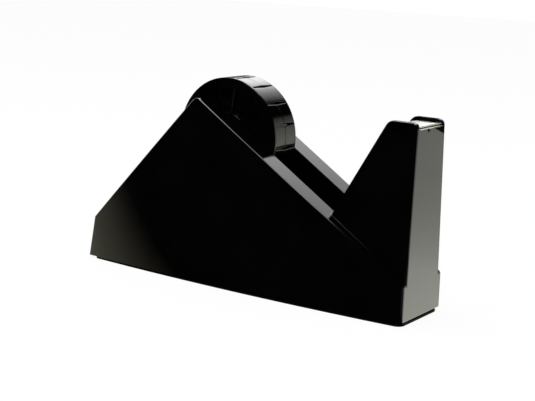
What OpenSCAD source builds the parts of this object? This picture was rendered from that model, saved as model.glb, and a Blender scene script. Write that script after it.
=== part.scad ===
// Weighted desk tape dispenser for large-core rolls.
// Millimetres. X runs to the cutter, Y across, Z up. The origin is on the table under the middle
// of the body. The wedge and the tower are drawn as side outlines in X and Z.

/* [Body] */
// Length of the body along the table
body_l = 245; // [235:1:270]
// Width of the body at its foot, across the middle
body_w = 58.8; // [57:0.2:66]
// Plan radius of the long bowed sides
side_bow_r = 1650; // [1400:50:4000]
// Lean of each side, mm inward per mm of height
side_draft = 0.012; // [0:0.002:0.02]
// Lean of the front face, mm back per mm of height
front_lean = 0.012; // [0:0.002:0.03]
// Thickness of the moulded walls
wall = 2.5; // [2:0.1:3]
// Height of the corner where the rear end meets the rear slope
rear_corner_h = 29.5; // [24:0.5:36]
// How far the rear end leans in up to that corner
rear_rake = 4.5; // [2:0.5:8]
// Distance of the ridge from the rear end
ridge_from_rear = 90.8; // [84:0.2:96]
// Height of the ridge where its two slopes meet
ridge_h = 121.4; // [116:0.2:126]
// Radius that rounds the ridge
ridge_r = 4.5; // [2:0.5:7]
// Radius of the rear corner
rear_corner_r = 2; // [1:0.5:4]
// Height of the ledges at the front face
step_h = 24.8; // [20:0.2:30]

/* [Tower] */
// Height of the two cheeks
tower_h = 119.5; // [114:0.5:124]
// Length of the cheeks' top
tower_top_l = 20; // [18:0.5:24]
// Angle of the tower's rear slope from the table
tower_rear_angle = 60.9; // [57:0.1:64]
// Width of the tower at the foot of the body
tower_w = 42.4; // [41.6:0.2:46]
// Lean of each tower side, mm inward per mm of height
tower_draft = 0.036; // [0.02:0.002:0.04]
// Radius of the cheeks' rear top corner
cheek_rear_r = 4.5; // [2:0.5:6]
// Radius of the cheeks' front top corner
cheek_front_r = 3.5; // [2:0.5:5]

/* [Roll channel] */
// Width of the channel between the ledges
channel_w = 27.5; // [27:0.1:28.4]
// Radius of the trough round the axle, for a full roll
trough_r = 58; // [54:0.5:60]
// Height of the channel floor
floor_h = 40; // [39:0.5:46]

/* [Roll wheel] */
// Radius of the wheel that fills a 76 mm core
hub_r = 37.5; // [36.5:0.1:38]
// Distance of the axle in front of the ridge
hub_ahead = 14; // [11:0.5:17]
// Distance of the axle below the ridge
hub_drop = 25.5; // [22:0.5:29]
// Thickness of the rim
rim_t = 4; // [3:0.2:5]
// Radius of the opening inside the rim's face
face_r = 31; // [28:0.5:32.5]
// Radius of the middle disc
disc_r = 15; // [13:0.5:18]
// Radius of the tube round the axle
tube_r = 9; // [7:0.5:11]
// Depth of the middle disc below the wheel's face
disc_depth = 0.2; // [0:0.1:0.6]
// Thickness of the web between the tube and the rim
web_t = 2.5; // [2:0.1:3.5]
// Depth of the web below the wheel's face
web_depth = 3; // [2:0.1:4]
// Number of slots across the rim
slots = 16; // [12:1:20]
// Angle of the first slot forward of the top
slot_phase = 6.5; // [0:0.5:20]
// Width of a slot at the seam
slot_mid_w = 2.2; // [1.6:0.1:3]
// Width of a slot at its outer end
slot_end_w = 0.8; // [0.5:0.1:1.4]
// Depth of a slot
slot_deep = 2.6; // [1.6:0.1:3]
// Plain border of the rim outside the slots
rim_border = 1.6; // [1:0.1:3]
// Thickness of the radial ribs on the web
rib_t = 1.6; // [1.2:0.1:2.4]
// Radius of the joining pegs between the halves
peg_r = 2; // [1.6:0.1:2.6]
// Distance of the pegs from the axle
peg_ring_r = 24; // [20:0.5:27]
// Length of a peg past the seam
peg_l = 4.5; // [3:0.5:6]
// Number of pegs
pegs = 4; // [3:1:6]

/* [Axle] */
// Radius of the axle
axle_r = 4; // [3.5:0.1:5]
// Side of the axle's square ends
axle_end = 5; // [4.6:0.1:5.6]
// Depth of the open slots in the channel walls
axle_slot_deep = 5; // [4:0.1:5.6]
// Radius of the retaining rings
clip_r = 7; // [6:0.1:8.5]
// Thickness of the retaining rings
clip_t = 0.8; // [0.6:0.05:0.9]
// Depth of the axle's grooves for the rings
groove_deep = 0.5; // [0.4:0.05:0.8]
// Length of the axle's round shoulder past each ring
shoulder_l = 0.5; // [0.4:0.05:0.8]

/* [Cutter] */
// Depth of the cutter seat below the cheeks' top
seat_drop = 2.5; // [2:0.1:4]
// Thickness of the tape rest plate
plate_t = 0.8; // [0.6:0.1:1]
// Radius of the seat's rear edge
seat_r = 5; // [3:0.5:7]
// Length of the plate's flange down the tower's rear slope
flange_l = 7; // [4:0.5:10]
// Distance of the plate's front fold behind the front face
plate_setback = 1.4; // [0.8:0.1:2.5]
// Thickness of the blade
blade_t = 0.8; // [0.6:0.1:1]
// Depth of the blade's pocket below the seat
pocket_deep = 1.6; // [1.4:0.1:2.2]
// Length of the blade's pocket behind the front face
pocket_l = 13; // [11:0.5:15]
// Reach of the teeth past the front wall
tooth_reach = 0.5; // [0.2:0.1:0.8]
// Depth of the teeth
tooth_deep = 1.5; // [1:0.1:2]
// Spacing of the teeth
tooth_pitch = 1.5; // [1.2:0.1:2.5]
// Radius of the moulded pins that locate the blade
pin_r = 1.5; // [1.2:0.1:2]
// Distance of the pins from the middle
pin_y = 8; // [6:0.5:10]
// Width of the small notch under the blade
notch_w = 4.4; // [3:0.2:6]
// Height of the small notch under the blade
notch_h = 2.3; // [1.5:0.1:3]
// Place of the small notch across the front
notch_y = -3.8; // [-6:0.2:6]

/* [Underside] */
// Thickness of the anti-slip mat
mat_t = 1.5; // [1:0.1:2.5]
// Margin of the mat inside the sides and the front
mat_margin = 0.8; // [0.5:0.1:2]
// Margin of the mat at the rear end
mat_rear_margin = 4; // [2:0.5:8]
// Corner radius of the mat
mat_corner_r = 5; // [3:0.5:8]
// Thickness of the base plate
plate_base_t = 3; // [2.6:0.1:4]
// Corner radius of the base plate
plate_corner_r = 1; // [0.5:0.5:3]
// Radius of the screw bosses
boss_r = 4; // [3.5:0.1:5]
// Distance of the rear bosses from the rear end
rear_boss_in = 12; // [11:0.5:14]
// Distance of the rear bosses from the middle
rear_boss_y = 14; // [12:0.5:16]
// Distance of the middle bosses from the middle
mid_boss_y = 11; // [9:0.5:12]
// Height of the front bosses
front_boss_h = 18; // [14:0.5:19]
// Radius of the base screws
base_screw_r = 1.6; // [1.4:0.1:2]
// Length of the base screws
base_screw_l = 13; // [11:0.5:15]
// Radius of the weight screws
weight_screw_r = 2.4; // [2:0.1:3]
// Length of the weight screws
weight_screw_l = 14; // [11:0.5:18]
// Room between the weights and the channel over them
weight_headroom = 4.9; // [2:0.1:12]
// Room between the rear weight and the rear bosses
rear_weight_room = 6.5; // [4:0.5:12]
// Width of the rear weight
rear_weight_w = 40; // [32:1:44]
// Room between the front weight and the front bosses
front_weight_room = 16.4; // [4:0.2:24]
// Width of the front weight
front_weight_w = 36; // [30:1:40]
// Corner radius of the weights
weight_corner_r = 3; // [1:0.5:6]
// Room between the weights and the middle bosses
weight_gap = 4; // [3:0.5:6]

/* [Clearances] */
// Gap on each side of the wheel's bore on the axle
run_gap = 0.05; // [0.02:0.01:0.1]
// Gap on each side of the axle's ends in their slots
slide_gap = 0.15; // [0.1:0.01:0.3]
// Gap under the axle's ends, past their tips and beside the wheel
seat_gap = 0.3; // [0.2:0.05:0.5]
// Gap on each side of a screw, pin or peg in its hole
hole_gap = 0.05; // [0.02:0.01:0.1]
// Gap round the base plate, the plate and the blade
fit_gap = 0.25; // [0.15:0.05:0.4]

/* [Hidden] */
$fn = 96;
bow_fn = 720;
arc_steps = 10;
bow_steps = 12;
over = 1;
sky_room = 40;

base_z = mat_t;
plate_top = base_z + plate_base_t;
half_l = body_l / 2;
half_w = body_w / 2;
half_channel = channel_w / 2;
sky = max(ridge_h, tower_h) + sky_room;

ridge_x = ridge_from_rear - half_l;
hub_x = ridge_x + hub_ahead;
hub_z = ridge_h - hub_drop;

seat_z = tower_h - seat_drop;
pocket_z = seat_z - pocket_deep;
pocket_x = front_x(seat_z) - pocket_l;
blade_z = pocket_z + blade_t;
cutter_half_w = half_channel - fit_gap;

hole_r = axle_r + run_gap;
shoulder_y = half_channel - slide_gap;
clip_in = shoulder_y - shoulder_l - clip_t;
half_hub = clip_in - seat_gap;
axle_slot_w = axle_end + 2 * slide_gap;
axle_slot_z = hub_z - axle_end / 2 - seat_gap;
axle_tip_y = half_channel + axle_slot_deep - seat_gap;

rear_boss_x = rear_boss_in - half_l;
mid_boss_x = 0;
front_boss_in = wall + 0.9 * boss_r;
front_boss_x = half_l - front_boss_in;
front_boss_y = side_half_w(front_boss_x) - front_boss_in;
weight_h = min(floor_h, hub_z - trough_r) - wall - weight_headroom - plate_top;
rear_weight_rear = rear_boss_x + boss_r + rear_weight_room;
rear_weight_front = mid_boss_x - boss_r - weight_gap;
front_weight_rear = mid_boss_x + boss_r + weight_gap;
front_weight_front = front_boss_x - boss_r - front_weight_room;

// Lean and slope of the outlines
function front_x(z) = half_l - front_lean * (z - base_z);
function tower_rear_x(z) = front_x(tower_h) - tower_top_l - (tower_h - z) / tan(tower_rear_angle);
function tower_half_w(z) = tower_w / 2 - tower_draft * (z - base_z);
function side_half_w(x) = half_w - side_bow_r + sqrt(side_bow_r * side_bow_r - x * x);

// Corners of the wedge seen from the side, anticlockwise from the rear foot
wedge_corners = [
    [-half_l, base_z],
    [front_x(base_z), base_z],
    [front_x(step_h), step_h],
    [ridge_x, ridge_h],
    [rear_rake - half_l, rear_corner_h]
];
// Corners of the tower seen from the side, anticlockwise from the rear foot
tower_corners = [
    [tower_rear_x(base_z), base_z],
    [front_x(base_z), base_z],
    [front_x(tower_h), tower_h],
    [tower_rear_x(tower_h), tower_h]
];

// Unit vector from a to b
function heading(a, b) = (b - a) / norm(b - a);

// Where the line through p along u meets the line through q along v
function meeting(p, u, q, v) = p + u * cross(q - p, v) / cross(u, v);

// A convex anticlockwise outline with edge i moved inward by depths[i]
function inset(pts, depths) = [
    for (i = [0 : len(pts) - 1])
        let (
            n = len(pts),
            h = (i + n - 1) % n,
            u = heading(pts[h], pts[i]),
            v = heading(pts[i], pts[(i + 1) % n])
        )
        meeting(
            pts[h] + [-u.y, u.x] * depths[h], u,
            pts[i] + [-v.y, v.x] * depths[i], v
        )
];

// The arc of radius r that rounds the corner b between a and c
function corner_arc(a, b, c, r) =
    let (
        u = heading(b, a),
        v = heading(b, c),
        half_angle = acos(u * v) / 2,
        centre = b + (u + v) / norm(u + v) * r / sin(half_angle),
        start = b + u * r / tan(half_angle) - centre,
        finish = b + v * r / tan(half_angle) - centre,
        from = atan2(start.y, start.x),
        turn = (atan2(finish.y, finish.x) - from + 540) % 360 - 180
    )
    [
        for (i = [0 : arc_steps])
            centre + r * [cos(from + turn * i / arc_steps), sin(from + turn * i / arc_steps)]
    ];

// An outline with corner i rounded to radii[i], or left sharp where that is 0
function rounded(pts, radii) = [
    for (i = [0 : len(pts) - 1])
        let (n = len(pts))
        each radii[i] == 0
            ? [pts[i]]
            : corner_arc(pts[(i + n - 1) % n], pts[i], pts[(i + 1) % n], radii[i])
];

// Plan outline that follows the bowed sides at a margin inside them
function bowed_plan(margin, rear_in, front_in, corner_r) =
    let (
        x0 = rear_in - half_l,
        x1 = half_l - front_in,
        xs = [for (i = [0 : bow_steps]) x0 + (x1 - x0) * i / bow_steps],
        pts = concat(
            [for (x = xs) [x, margin - side_half_w(x)]],
            [for (i = [bow_steps : -1 : 0]) [xs[i], side_half_w(xs[i]) - margin]]
        ),
        last = len(pts) - 1,
        ends = [0, bow_steps, bow_steps + 1, last]
    )
    rounded(pts, [for (i = [0 : last]) len(search(i, ends)) > 0 ? corner_r : 0]);

// A side outline drawn in X and Z, spread across Y
module across(width) {
    translate([0, width / 2, 0]) rotate([90, 0, 0]) linear_extrude(width) children();
}

// The space between the two bowed, leaning sides, at a depth inside them
module between_sides(depth) {
    low = base_z - over;
    half = half_w - depth + side_draft * over;
    tall = sky - low;
    intersection() {
        for_side(1, half, low, tall);
        for_side(-1, half, low, tall);
    }
}

// The cone whose surface is one bowed, leaning side
module for_side(side, half, low, tall) {
    translate([0, side * (half - side_bow_r), low])
        cylinder(h = tall, r1 = side_bow_r, r2 = side_bow_r - side_draft * tall, $fn = bow_fn);
}

// The space between the tower's two leaning sides, at a depth inside them
module between_tower_sides(depth) {
    foot = tower_half_w(base_z - over) - depth;
    top = tower_half_w(sky) - depth;
    translate([-half_l, 0, 0]) rotate([90, 0, 90]) linear_extrude(2 * body_l)
        polygon([[-foot, base_z - over], [foot, base_z - over], [top, sky], [-top, sky]]);
}

// The space behind the leaning front face, at a depth inside it
module behind_front(depth) {
    low = base_z - 2 * over;
    across(2 * body_w) polygon([
        [-body_l, low], [front_x(low) - depth, low], [front_x(sky) - depth, sky], [-body_l, sky]
    ]);
}

// The space behind the front face and under the cheeks' rounded front corner
module under_cheeks() {
    low = base_z - over;
    middle_x = (ridge_x + tower_rear_x(tower_h)) / 2;
    across(2 * body_w) polygon(rounded(
        [
            [-body_l, low], [front_x(low), low], [front_x(tower_h), tower_h],
            [middle_x, tower_h], [middle_x, sky], [-body_l, sky]
        ],
        [0, 0, cheek_front_r, 0, 0, 0]
    ));
}

// Outer form of the wedge and the tower before they are hollowed
module body_form() {
    intersection() {
        union() {
            intersection() {
                across(2 * body_w) polygon(rounded(
                    inset(wedge_corners, [0, -over, 0, 0, 0]), [0, 0, 0, ridge_r, rear_corner_r]
                ));
                between_sides(0);
            }
            intersection() {
                across(2 * body_w)
                    polygon(rounded(inset(tower_corners, [0, -over, 0, 0]), [0, 0, 0, cheek_rear_r]));
                between_tower_sides(0);
            }
        }
        under_cheeks();
    }
}

// The roll's trough round the axle, grown by a depth
module trough(depth) {
    translate([hub_x, half_channel + depth, hub_z]) rotate([90, 0, 0])
        cylinder(h = channel_w + 2 * depth, r = trough_r + depth);
}

// Side outline of the channel in front of the trough, up the tower and over the cutter seat
function channel_outline() = rounded(
    [
        [hub_x, floor_h],
        [tower_rear_x(floor_h), floor_h],
        [tower_rear_x(seat_z), seat_z],
        [pocket_x, seat_z],
        [pocket_x, pocket_z],
        [half_l + over, pocket_z],
        [half_l + over, sky],
        [hub_x - 0.9 * trough_r, sky],
        [hub_x - 0.9 * trough_r, hub_z],
        [hub_x, hub_z]
    ],
    [0, 0, seat_r, 0, 0, 0, 0, 0, 0, 0]
);

// Everything open between the ledges and between the cheeks
module channel_space() {
    across(channel_w) polygon(channel_outline());
    trough(0);
}

// The channel with its walls, which the hollow leaves standing
module channel_walls() {
    back = wall / sin(tower_rear_angle);
    low = floor_h - wall;
    across(channel_w + 2 * wall) polygon([
        [hub_x, low],
        [tower_rear_x(low) + back, low],
        [tower_rear_x(sky) + back, sky],
        [hub_x - 0.9 * trough_r, sky],
        [hub_x - 0.9 * trough_r, hub_z],
        [hub_x, hub_z]
    ]);
    trough(wall);
}

// Blocks behind the channel walls that the axle's slots are cut in
module slot_blocks() {
    block_w = axle_slot_w + 2 * wall;
    across(channel_w + 2 * (axle_slot_deep + wall))
        translate([hub_x - block_w / 2, axle_slot_z - wall])
            square([block_w, sky - axle_slot_z]);
}

// The open slots that the axle's square ends drop into
module axle_slots() {
    across(channel_w + 2 * axle_slot_deep)
        translate([hub_x - axle_slot_w / 2, axle_slot_z]) square([axle_slot_w, sky - axle_slot_z]);
}

// Children at the six screw bosses
module at_bosses() {
    for (side = [-1, 1]) {
        translate([rear_boss_x, side * rear_boss_y, 0]) children();
        translate([mid_boss_x, side * mid_boss_y, 0]) children();
        translate([front_boss_x, side * front_boss_y, 0]) children();
    }
}

// Posts that take the base screws: full height but for the front pair
module bosses() {
    for (side = [-1, 1]) {
        translate([rear_boss_x, side * rear_boss_y, plate_top]) cylinder(h = ridge_h, r = boss_r);
        translate([mid_boss_x, side * mid_boss_y, plate_top]) cylinder(h = floor_h, r = boss_r);
        translate([front_boss_x, side * front_boss_y, plate_top])
            cylinder(h = front_boss_h, r = boss_r);
    }
}

// The hollow inside the shell, open underneath
module hollow() {
    tower_ceiling = tower_h - pocket_z + wall;
    difference() {
        intersection() {
            union() {
                intersection() {
                    across(2 * body_w)
                        polygon(inset(wedge_corners, [-over, -over, wall, wall, wall]));
                    between_sides(wall);
                }
                intersection() {
                    across(2 * body_w)
                        polygon(inset(tower_corners, [-over, -over, tower_ceiling, wall]));
                    between_tower_sides(wall);
                }
            }
            behind_front(wall);
        }
        channel_walls();
        slot_blocks();
        bosses();
    }
}

// The small vee notch in the front wall under the blade
module front_notch() {
    translate([front_x(pocket_z) - wall / 2, notch_y, pocket_z]) rotate([90, 0, 90])
        linear_extrude(2 * wall)
            polygon([[-notch_w / 2, over], [-notch_w / 2, 0], [0, -notch_h], [notch_w / 2, 0],
                [notch_w / 2, over]]);
}

// Children at the two moulded pins of the blade
module at_pins() {
    for (side = [-1, 1])
        translate([pocket_x + pocket_l / 3, side * pin_y, pocket_z]) children();
}

module body_shell() {
    color([0.03, 0.03, 0.035]) {
        difference() {
            body_form();
            channel_space();
            hollow();
            axle_slots();
            front_notch();
            at_bosses() translate([0, 0, plate_top - over])
                cylinder(h = base_screw_l, r = base_screw_r + hole_gap);
        }
        at_pins() translate([0, 0, -over])
            cylinder(h = pocket_deep - seat_gap + over, r = pin_r);
    }
}

// A countersunk screw with its head's face down at the underside of the base plate
module countersunk_screw(r, l) {
    head_r = 2 * r;
    recess = 0.45 * r;
    translate([0, 0, base_z]) difference() {
        union() {
            cylinder(h = r, r1 = head_r, r2 = r);
            cylinder(h = l, r = r);
        }
        for (turn = [0, 90])
            rotate([0, 0, turn]) translate([-r, -recess / 2, -over])
                cube([2 * r, recess, over + 0.6 * r]);
    }
}

// The matching hole through the base plate
module countersunk_hole(r) {
    head_r = 2 * r + hole_gap;
    translate([0, 0, base_z]) {
        cylinder(h = r, r1 = head_r, r2 = r + hole_gap);
        translate([0, 0, -over]) cylinder(h = plate_base_t + 2 * over, r = r + hole_gap);
    }
}

// Children at the two screws of each weight
module at_weight_screws() {
    for (ends = [[rear_weight_rear, rear_weight_front], [front_weight_rear, front_weight_front]])
        for (share = [0.2, 0.8])
            translate([ends[0] + (ends[1] - ends[0]) * share, 0, 0]) children();
}

module base_plate() {
    inside = wall + fit_gap;
    raked_in = rear_rake * plate_base_t / (rear_corner_h - base_z);
    color([0.06, 0.06, 0.065]) difference() {
        translate([0, 0, base_z]) linear_extrude(plate_base_t)
            polygon(bowed_plan(inside, inside + raked_in, inside, plate_corner_r));
        at_bosses() countersunk_hole(base_screw_r);
        at_weight_screws() countersunk_hole(weight_screw_r);
    }
}

module anti_slip_mat() {
    color([0.09, 0.09, 0.09]) linear_extrude(mat_t)
        polygon(bowed_plan(mat_margin, mat_rear_margin, mat_margin, mat_corner_r));
}

// A cast block on the base plate, tapped for its two screws
module weight(rear_x, front_x, w) {
    corner = weight_corner_r;
    difference() {
        translate([0, 0, plate_top]) linear_extrude(weight_h) polygon(rounded(
            [[rear_x, -w / 2], [front_x, -w / 2], [front_x, w / 2], [rear_x, w / 2]],
            [corner, corner, corner, corner]
        ));
        at_weight_screws() translate([0, 0, plate_top - over])
            cylinder(h = weight_screw_l, r = weight_screw_r + hole_gap);
    }
}

module rear_weight() {
    color([0.3, 0.3, 0.32]) weight(rear_weight_rear, rear_weight_front, rear_weight_w);
}

module front_weight() {
    color([0.3, 0.3, 0.32]) weight(front_weight_rear, front_weight_front, front_weight_w);
}

module weight_screws() {
    color([0.6, 0.6, 0.62]) at_weight_screws() countersunk_screw(weight_screw_r, weight_screw_l);
}

module base_screws() {
    color([0.6, 0.6, 0.62]) at_bosses() countersunk_screw(base_screw_r, base_screw_l);
}

// Children turned so that local Z runs out along +Y from the seam, at the axle
module on_axle() {
    translate([hub_x, 0, hub_z]) rotate([-90, 0, 0]) children();
}

// Half of a rim slot: widest at the seam and narrow at the rim's border
module rim_slot() {
    end_z = half_hub - rim_border;
    flare = (slot_mid_w - slot_end_w) / 2 / end_z * over;
    translate([hub_r - slot_deep, 0, 0]) rotate([90, 0, 90]) linear_extrude(slot_deep + over)
        polygon([
            [-slot_mid_w / 2 - flare, -over], [slot_mid_w / 2 + flare, -over],
            [slot_end_w / 2, end_z], [-slot_end_w / 2, end_z]
        ]);
}

// One moulded half of the wheel, its seam face at local Z 0; its turning starts between two slots
module hub_half() {
    web_z = half_hub - web_depth;
    inner_r = hub_r - rim_t;
    disc_z = half_hub - disc_depth;
    pitch = 360 / slots;
    rotate([0, 0, slot_phase - 90 - pitch / 2]) difference() {
        union() {
            rotate_extrude() polygon([
                [hole_r, 0], [tube_r, 0], [tube_r, web_z - web_t], [inner_r, web_z - web_t],
                [inner_r, 0], [hub_r, 0], [hub_r, half_hub], [face_r, half_hub],
                [face_r, web_z], [disc_r, web_z], [disc_r, disc_z], [hole_r, disc_z]
            ]);
            for (i = [0 : slots - 1])
                rotate([0, 0, (i + 0.5) * pitch]) translate([disc_r - over, -rib_t / 2, web_z - over])
                    cube([face_r - disc_r + 2 * over, rib_t, web_depth]);
        }
        for (i = [0 : slots - 1]) rotate([0, 0, (i + 0.5) * pitch]) rim_slot();
    }
}

// Children at the joining pegs
module at_pegs() {
    for (i = [0 : pegs - 1])
        rotate([0, 0, (i + 0.5) * 360 / pegs]) translate([peg_ring_r, 0, 0]) children();
}

module hub_left() {
    post_h = half_hub - web_depth - web_t / 2;
    color([0.03, 0.03, 0.035]) on_axle() {
        hub_half();
        at_pegs() {
            cylinder(h = post_h, r = 2 * peg_r);
            translate([0, 0, -peg_l]) cylinder(h = peg_l + over, r = peg_r);
        }
    }
}

module hub_right() {
    post_h = half_hub - web_depth - web_t / 2;
    color([0.03, 0.03, 0.035]) mirror([0, 1, 0]) on_axle() {
        hub_half();
        at_pegs() difference() {
            cylinder(h = post_h, r = 2 * peg_r);
            translate([0, 0, -over])
                cylinder(h = peg_l + seat_gap + over, r = peg_r + hole_gap);
        }
    }
}

module hub_axle() {
    groove_l = clip_t + 2 * hole_gap;
    end_from = shoulder_y - shoulder_l / 2;
    color([0.75, 0.75, 0.77]) on_axle() {
        difference() {
            cylinder(h = 2 * shoulder_y, r = axle_r, center = true);
            for (side = [-1, 1])
                translate([0, 0, side * (clip_in + clip_t / 2)]) difference() {
                    cylinder(h = groove_l, r = axle_r + over, center = true);
                    cylinder(h = groove_l + 2, r = axle_r - groove_deep, center = true);
                }
        }
        for (side = [-1, 1])
            translate([0, 0, side * (end_from + axle_tip_y) / 2])
                cube([axle_end, axle_end, axle_tip_y - end_from], center = true);
    }
}

module axle_clips() {
    color([0.35, 0.35, 0.37]) on_axle()
        for (side = [-1, 1])
            translate([0, 0, side * (clip_in + clip_t / 2)]) difference() {
                cylinder(h = clip_t, r = clip_r, center = true);
                cylinder(h = clip_t + 2, r = axle_r - groove_deep + hole_gap, center = true);
            }
}

// Side path of the rest plate at a height above its seat, from the flange's foot to the front fold
function plate_path(lift) =
    let (
        slope = [cos(tower_rear_angle), sin(tower_rear_angle)],
        out = [-slope.y, slope.x] * lift,
        back_corner = meeting(
            [tower_rear_x(seat_z), seat_z] + out, slope, [0, seat_z + lift], [1, 0]
        ),
        foot = [tower_rear_x(seat_z), seat_z] + out - slope * (flange_l + seat_r / 2),
        fold_x = front_x(seat_z) - plate_setback - plate_t + lift,
        fold = [fold_x, seat_z + lift],
        lip = [fold_x, blade_z]
    )
    concat(
        [foot],
        corner_arc(foot, back_corner, fold, seat_r + lift),
        lift > 0 ? corner_arc(back_corner, fold, lip, plate_t) : [fold],
        [lip]
    );

module tape_rest_plate() {
    inner = plate_path(0);
    outer = plate_path(plate_t);
    color([0.85, 0.85, 0.87]) across(2 * cutter_half_w)
        polygon(concat(outer, [for (i = [len(inner) - 1 : -1 : 0]) inner[i]]));
}

module cutter_blade() {
    tip_x = front_x(pocket_z) + tooth_reach;
    root_x = tip_x - tooth_deep;
    rear_x = pocket_x + fit_gap;
    teeth = floor(2 * cutter_half_w / tooth_pitch);
    start = -teeth * tooth_pitch / 2;
    color([0.8, 0.8, 0.82]) difference() {
        translate([0, 0, pocket_z]) linear_extrude(blade_t) polygon(concat(
            [[rear_x, -cutter_half_w], [root_x, -cutter_half_w]],
            [
                for (i = [0 : teeth - 1])
                    each [
                        [root_x, start + i * tooth_pitch],
                        [tip_x, start + (i + 0.5) * tooth_pitch]
                    ]
            ],
            [[root_x, -start], [root_x, cutter_half_w], [rear_x, cutter_half_w]]
        ));
        at_pins() translate([0, 0, -over])
            cylinder(h = blade_t + 2 * over, r = pin_r + hole_gap);
    }
}

body_shell();
base_plate();
anti_slip_mat();
rear_weight();
front_weight();
weight_screws();
base_screws();
hub_left();
hub_right();
hub_axle();
axle_clips();
tape_rest_plate();
cutter_blade();
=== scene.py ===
"""Looks of a weighted desk tape dispenser: a gloss black wedge with a slotted roll wheel and a cutter tower.

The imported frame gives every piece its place. Each piece below is an operator, and main() runs them in order.
Lengths are metres, written as millimetres times MM; +X runs to the cutter, +Y across, +Z up.
"""

import math
from contextlib import contextmanager

import bmesh
import bpy
import numpy as np
from bpy.props import FloatProperty, IntProperty, PointerProperty, StringProperty
from mathutils import Matrix, Vector
from mathutils.bvhtree import BVHTree


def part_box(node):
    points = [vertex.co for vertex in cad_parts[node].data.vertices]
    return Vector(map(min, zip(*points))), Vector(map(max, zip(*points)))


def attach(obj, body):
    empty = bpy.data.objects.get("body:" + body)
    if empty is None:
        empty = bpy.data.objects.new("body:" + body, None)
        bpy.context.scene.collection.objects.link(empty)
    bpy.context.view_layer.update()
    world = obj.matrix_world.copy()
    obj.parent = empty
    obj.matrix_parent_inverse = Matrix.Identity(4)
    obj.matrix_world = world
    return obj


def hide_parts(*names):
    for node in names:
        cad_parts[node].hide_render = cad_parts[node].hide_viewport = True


bl_info = {
    "name": "Desk Tape Dispenser",
    "version": (1, 0, 0),
    "blender": (4, 5, 0),
    "location": "View3D > Sidebar > Dispenser",
    "description": "Builds a weighted desk tape dispenser around its packed frame",
    "category": "Object",
}

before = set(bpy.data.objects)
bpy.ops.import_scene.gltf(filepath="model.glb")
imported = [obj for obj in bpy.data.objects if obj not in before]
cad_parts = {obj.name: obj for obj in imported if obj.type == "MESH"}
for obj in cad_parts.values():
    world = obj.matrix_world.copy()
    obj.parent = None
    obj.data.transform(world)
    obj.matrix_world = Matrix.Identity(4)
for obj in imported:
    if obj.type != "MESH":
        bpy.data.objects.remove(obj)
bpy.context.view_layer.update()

MM = 0.001

shell_low, shell_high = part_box("body_shell")
wheel_low, wheel_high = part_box("hub_left")
mat_low, mat_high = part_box("anti_slip_mat")
axle_low, axle_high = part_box("hub_axle")
plate_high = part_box("tape_rest_plate")[1]
blade_low, blade_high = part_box("cutter_blade")
# The middle of the axle, which the wheel turns about
hub = (axle_low + axle_high) / 2


def length(name, description, default):
    """A length property in metres."""
    return FloatProperty(name=name, description=description, default=default, unit="LENGTH", precision=5)


def lean(name, description, default):
    """A property for how far a face leans in per height."""
    return FloatProperty(name=name, description=description, default=default)


def degrees(name, description, default):
    """An angle property, given in degrees."""
    return FloatProperty(name=name, description=description, default=math.radians(default), subtype="ANGLE")


def colour(name, description, default):
    """A colour property, written as an sRGB hex value."""
    return StringProperty(name=name, description=description, default=default)


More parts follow.
